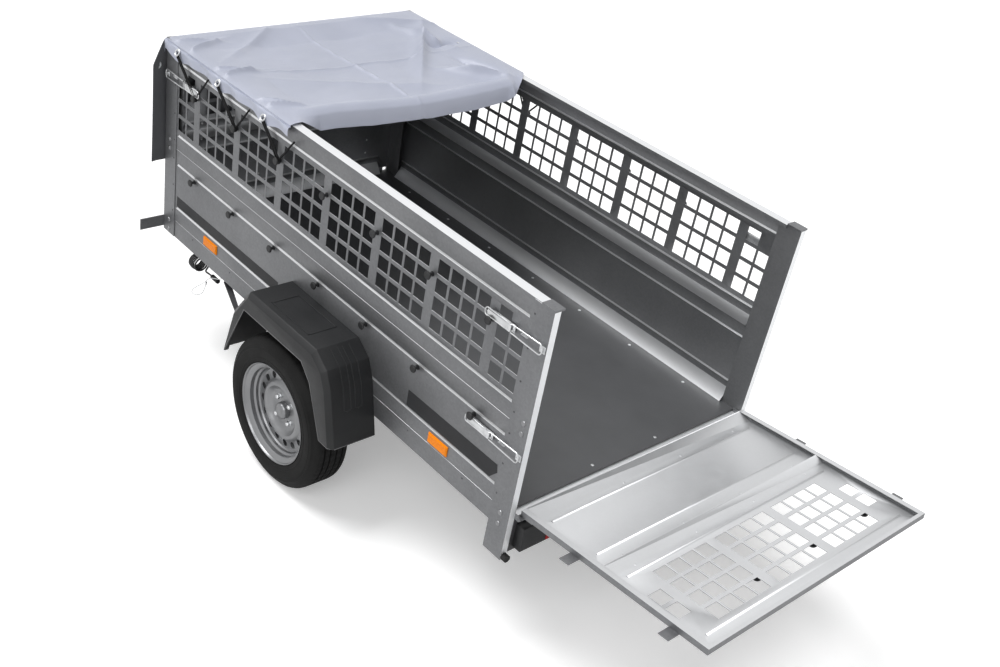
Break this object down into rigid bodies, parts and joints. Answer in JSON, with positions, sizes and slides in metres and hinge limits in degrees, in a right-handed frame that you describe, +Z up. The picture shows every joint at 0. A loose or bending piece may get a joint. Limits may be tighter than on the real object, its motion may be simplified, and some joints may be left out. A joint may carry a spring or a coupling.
{
  "type": "utility trailer",
  "caption": "Single-axle utility trailer with a galvanised box, mesh side boards, drop-down tailgate, folded cover and ball coupling.",
  "frame": {"origin": "on the ground under the middle of the trailer's length and width", "axes": "+X forward to the coupling, +Y to the left, +Z up"},
  "size_m": [3.6982, 1.466, 1.2028],
  "materials": {
    "galvanised": "spangled zinc, satin",
    "dark_steel": "dark painted",
    "floor_sheet": "dull grey sheet",
    "rim_silver": "silver paint",
    "tyre": "black rubber",
    "rubber": "black rubber",
    "black_plastic": "grained black",
    "lamp_red": "clear red lens",
    "reflector_amber": "clear amber lens",
    "zinc_wire": "bright zinc plate",
    "cable": "black cable sheath",
    "cover_fabric": "coated tarpaulin, grey"
  },
  "bodies": {
    "chassis": {"sill_left": "galvanised", "sill_right": "galvanised", "cross_members": "galvanised", "lower_board_left": "galvanised", "lower_board_right": "galvanised", "upper_board_left": "galvanised", "upper_board_right": "galvanised", "lower_board_front": "galvanised", "upper_board_front": "galvanised", "floor_panel": "floor_sheet", "post_caps": "zinc_wire", "cover_knobs": "black_plastic", "mudguard_left": "black_plastic", "mudguard_right": "black_plastic", "axle_beam": "galvanised", "axle_saddles": "galvanised", "axle_arm_left": "dark_steel", "axle_arm_right": "dark_steel", "drawbar": "galvanised", "coupling": "galvanised", "jockey_clamp": "galvanised", "jockey_mast": "galvanised", "lamp_panel": "black_plastic", "rear_lamp_left": "lamp_red", "rear_lamp_right": "lamp_red", "marker_brackets": "galvanised", "gate_hinge_brackets": "galvanised", "cover": "cover_fabric", "toggle_latches": "zinc_wire", "side_reflectors": "reflector_amber", "mudguard_stays": "dark_steel", "drawbar_brackets": "galvanised", "rear_reflectors": "lamp_red", "leg_buffers": "rubber", "cable_coil": "cable", "cable_tail": "cable", "cable_lead": "cable", "cable_plug": "black_plastic", "safety_wire": "zinc_wire", "post_rear_left": "galvanised", "extension_rear_left": "galvanised", "post_rear_right": "galvanised", "extension_rear_right": "galvanised", "post_front_left": "galvanised", "extension_front_left": "galvanised", "post_front_right": "galvanised", "extension_front_right": "galvanised"},
    "tailgate": {"gate_panel": "galvanised", "gate_hinge_leaves": "galvanised", "gate_keepers": "galvanised", "gate_knobs": "black_plastic"},
    "wheel_left": {"hub_left": "dark_steel", "rim_left": "rim_silver", "tyre_left": "tyre"},
    "wheel_right": {"hub_right": "dark_steel", "rim_right": "rim_silver", "tyre_right": "tyre"},
    "jockey_fork": {"jockey_fork": "galvanised"},
    "jockey_wheel": {"jockey_wheel": "rubber"}
  },
  "joints": [
    {"name": "wheel_left_spin", "type": "hinge", "parent": "chassis", "child": "wheel_left", "pos_m": [-0.15094, 0.657, 0.273], "axis": [0, 1, 0], "continuous": true},
    {"name": "wheel_right_spin", "type": "hinge", "parent": "chassis", "child": "wheel_right", "pos_m": [-0.15094, -0.657, 0.273], "axis": [0, 1, 0], "continuous": true},
    {"name": "tailgate_hinge", "type": "hinge", "parent": "chassis", "child": "tailgate", "pos_m": [-1.14994, 0, 0.479], "axis": [0, 1, 0], "range_deg": [0, 84.6]},
    {"name": "jockey_swivel", "type": "hinge", "parent": "chassis", "child": "jockey_fork", "pos_m": [1.51906, -0.072, 0.26], "axis": [0, 0, 1], "continuous": true},
    {"name": "jockey_spin", "type": "hinge", "parent": "jockey_fork", "child": "jockey_wheel", "pos_m": [1.48106, -0.072, 0.1], "axis": [0, 1, 0], "continuous": true}
  ]
}
